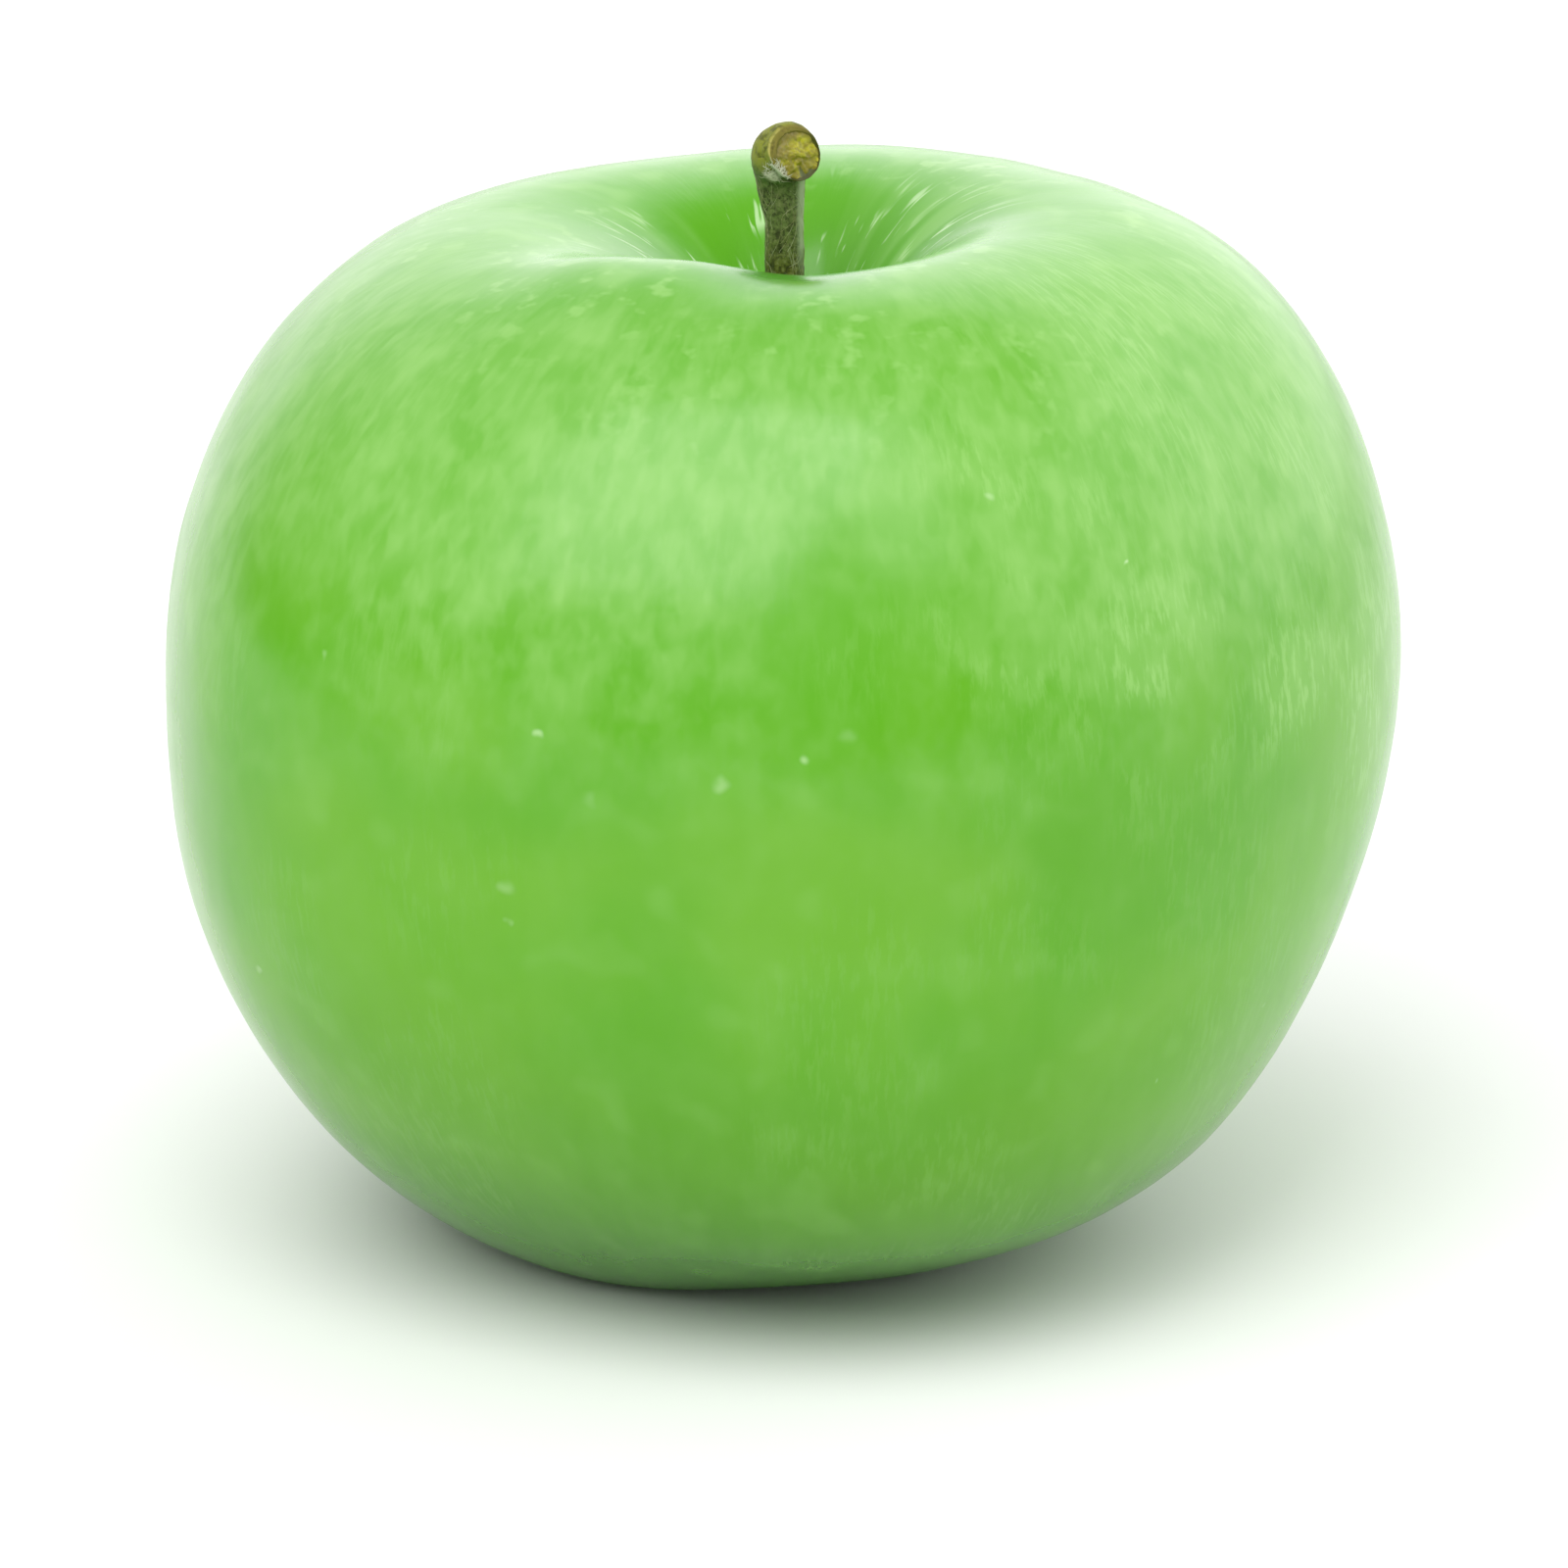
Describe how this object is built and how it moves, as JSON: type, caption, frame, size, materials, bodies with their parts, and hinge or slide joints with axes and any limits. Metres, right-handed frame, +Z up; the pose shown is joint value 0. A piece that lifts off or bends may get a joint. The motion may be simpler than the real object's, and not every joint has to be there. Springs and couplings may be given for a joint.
{
  "type": "green apple",
  "caption": "Whole green apple: a ribbed round fruit with a short woody stem standing in its top cavity and a dried calyx in the basin below, resting on its base.",
  "frame": {"origin": "on the surface that the apple rests on, under the middle of its bounding box", "axes": "+Z up along the core and the stem, -Y towards the side that shows best, +X to the right of that side"},
  "size_m": [0.08, 0.0802, 0.0731],
  "materials": {
    "skin": "waxy green skin with a soft gloss, pale dots and pale streaks round the stem cavity",
    "bark": "dull olive-brown bark with fine pale fibres, and a glossy yellow-olive cut end",
    "dried_sepal": "dry, matt and papery",
    "dried_stamen": "dry and matt, nearly black"
  },
  "bodies": {
    "root": {"fruit": "skin", "stem": "bark", "sepals": "dried_sepal", "stamens": "dried_stamen"}
  },
  "joints": []
}
